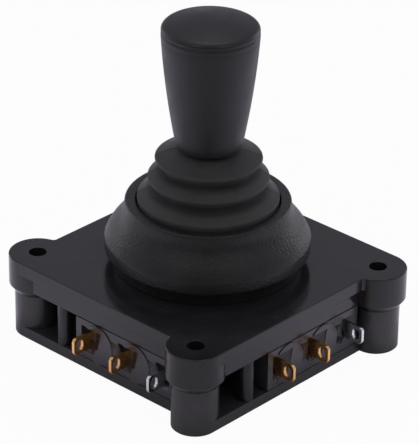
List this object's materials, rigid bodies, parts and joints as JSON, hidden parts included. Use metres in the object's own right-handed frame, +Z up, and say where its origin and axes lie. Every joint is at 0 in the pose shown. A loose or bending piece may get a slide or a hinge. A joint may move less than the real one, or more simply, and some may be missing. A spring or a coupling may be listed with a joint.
{
  "type": "panel joystick with snap-action switches",
  "caption": "Two-axis panel joystick: square housing with corner mounting posts, a snap-action switch on each side, flared bezel, rubber gaiter and a conical sprung knob.",
  "frame": {"origin": "centre of the housing's underside", "axes": "+Z up along the lever, the housing's sides along X and Y; the front side is -Y"},
  "size_m": [0.048, 0.048, 0.0526],
  "materials": {
    "housing_plastic": "moulded black plastic, satin",
    "cover_plastic": "moulded black plastic, semi-gloss",
    "bezel_plastic": "black plastic, fine leather grain",
    "gaiter_rubber": "matt black rubber",
    "knob_plastic": "black plastic, fine spark-eroded grain",
    "brass": "turned brass",
    "steel": "ground steel",
    "zinc": "zinc plated",
    "spring_steel": "drawn wire and strip",
    "hub_plastic": "natural acetal",
    "switch_plastic": "black thermoset, satin",
    "plunger_plastic": "red plastic",
    "gold_plate": "gold flash on brass strip",
    "silver_plate": "silver plated brass strip"
  },
  "bodies": {
    "housing": {"base_housing": "housing_plastic", "top_cover": "cover_plastic", "bezel_ring": "bezel_plastic", "gaiter": "gaiter_rubber", "return_spring": "spring_steel", "spring_seat": "zinc", "switch_case_front": "switch_plastic", "switch_lid_front": "switch_plastic", "make_terminal_front": "gold_plate", "break_terminal_front": "gold_plate", "common_terminal_front": "silver_plate", "switch_case_right": "switch_plastic", "switch_lid_right": "switch_plastic", "make_terminal_right": "gold_plate", "break_terminal_right": "gold_plate", "common_terminal_right": "silver_plate", "switch_case_back": "switch_plastic", "switch_lid_back": "switch_plastic", "make_terminal_back": "gold_plate", "break_terminal_back": "gold_plate", "common_terminal_back": "silver_plate", "switch_case_left": "switch_plastic", "switch_lid_left": "switch_plastic", "make_terminal_left": "gold_plate", "break_terminal_left": "gold_plate", "common_terminal_left": "silver_plate"},
    "gimbal": {"gimbal_ring": "zinc", "trunnion_pins": "steel"},
    "lever": {"lever_shaft": "steel", "cross_pin": "steel", "actuator_hub": "hub_plastic", "hub_screw": "steel", "spring_cap": "zinc", "retaining_clip": "spring_steel", "knob_insert": "brass", "knob": "knob_plastic"},
    "front_plunger": {"plunger_front": "plunger_plastic"},
    "right_plunger": {"plunger_right": "plunger_plastic"},
    "back_plunger": {"plunger_back": "plunger_plastic"},
    "left_plunger": {"plunger_left": "plunger_plastic"}
  },
  "joints": [
    {"name": "tilt_x", "type": "hinge", "parent": "housing", "child": "gimbal", "pos_m": [0, 0, 0.0132], "axis": [1, 0, 0], "range_deg": [-15, 15], "stiffness_Nm_per_rad": 0.3, "deforming": ["gaiter", "return_spring"]},
    {"name": "tilt_y", "type": "hinge", "parent": "gimbal", "child": "lever", "pos_m": [0, 0, 0.0132], "axis": [0, 1, 0], "range_deg": [-15, 15], "stiffness_Nm_per_rad": 0.3, "deforming": ["gaiter", "return_spring"]},
    {"name": "press_front", "type": "slide", "parent": "housing", "child": "front_plunger", "axis": [0, -1, 0], "range_m": [-0.0008, 0.0008]},
    {"name": "press_right", "type": "slide", "parent": "housing", "child": "right_plunger", "axis": [1, 0, 0], "range_m": [-0.0008, 0.0008]},
    {"name": "press_back", "type": "slide", "parent": "housing", "child": "back_plunger", "axis": [0, 1, 0], "range_m": [-0.0008, 0.0008]},
    {"name": "press_left", "type": "slide", "parent": "housing", "child": "left_plunger", "axis": [-1, 0, 0], "range_m": [-0.0008, 0.0008]}
  ],
  "couplings": [
    {"joint": "press_front", "follows": "tilt_x", "m_per_rad": -0.003055},
    {"joint": "press_right", "follows": "tilt_y", "m_per_rad": -0.003055},
    {"joint": "press_back", "follows": "tilt_x", "m_per_rad": 0.003055},
    {"joint": "press_left", "follows": "tilt_y", "m_per_rad": 0.003055}
  ]
}
